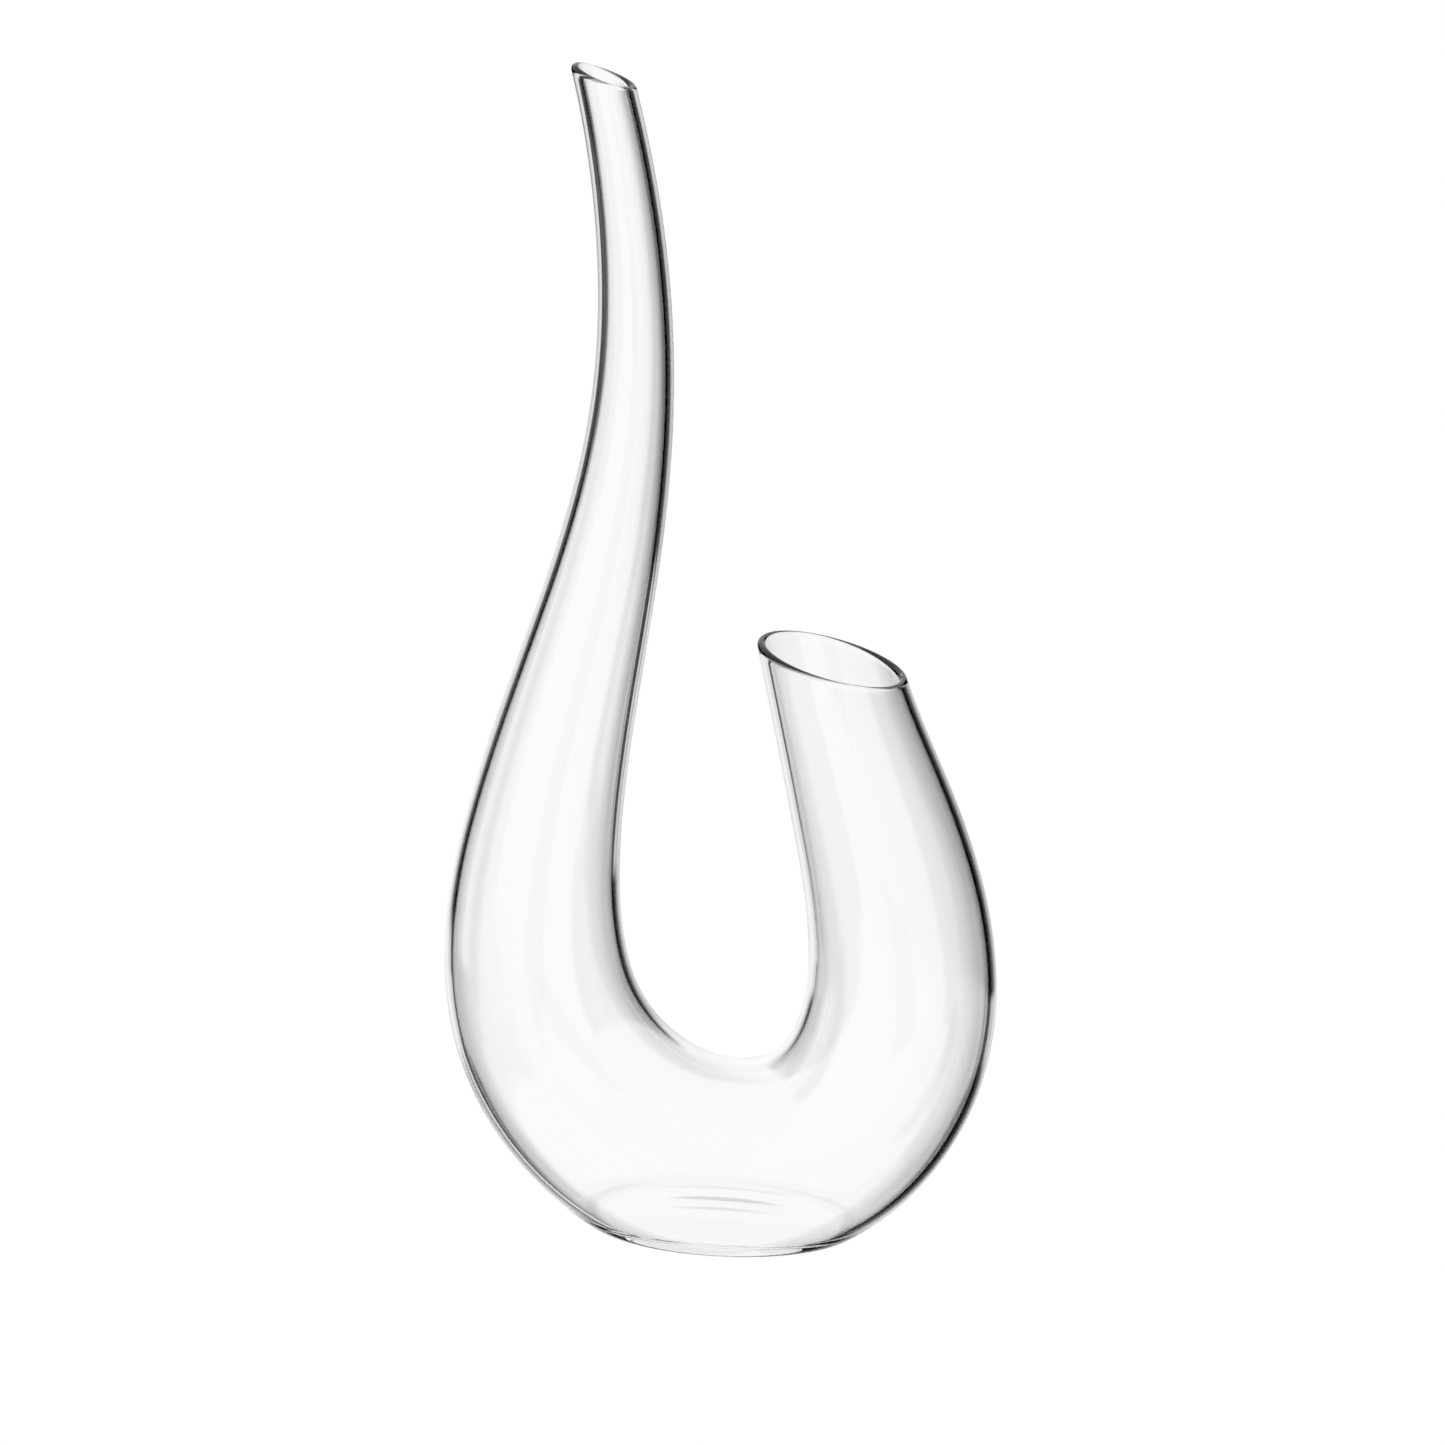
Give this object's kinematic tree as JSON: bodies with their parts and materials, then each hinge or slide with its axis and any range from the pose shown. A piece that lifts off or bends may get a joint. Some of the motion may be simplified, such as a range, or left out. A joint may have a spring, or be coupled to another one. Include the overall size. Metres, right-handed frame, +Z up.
{
  "type": "wine decanter",
  "caption": "U-shaped clear glass wine decanter with a tall S-curved pouring neck, a short wide filling limb and a flat foot.",
  "frame": {"origin": "on the table under the middle of the overall width, in the plane that halves the decanter front to back", "axes": "+Z up along the tall neck; +X from the pouring neck towards the filling limb; +Y away from the front view, across the tube"},
  "size_m": [0.1889, 0.0724, 0.3993],
  "materials": {
    "clear_glass": "clear colourless glass, polished, with fire-rounded rims"
  },
  "bodies": {
    "root": {"pouring_rim": "clear_glass", "pouring_neck": "clear_glass", "neck_foot": "clear_glass", "neck_swell": "clear_glass", "filling_rim": "clear_glass", "filling_limb": "clear_glass", "bowl_neck_side": "clear_glass", "bowl_filling_side": "clear_glass", "bottom_neck_side": "clear_glass", "bottom_filling_side": "clear_glass", "base": "clear_glass"}
  },
  "joints": []
}
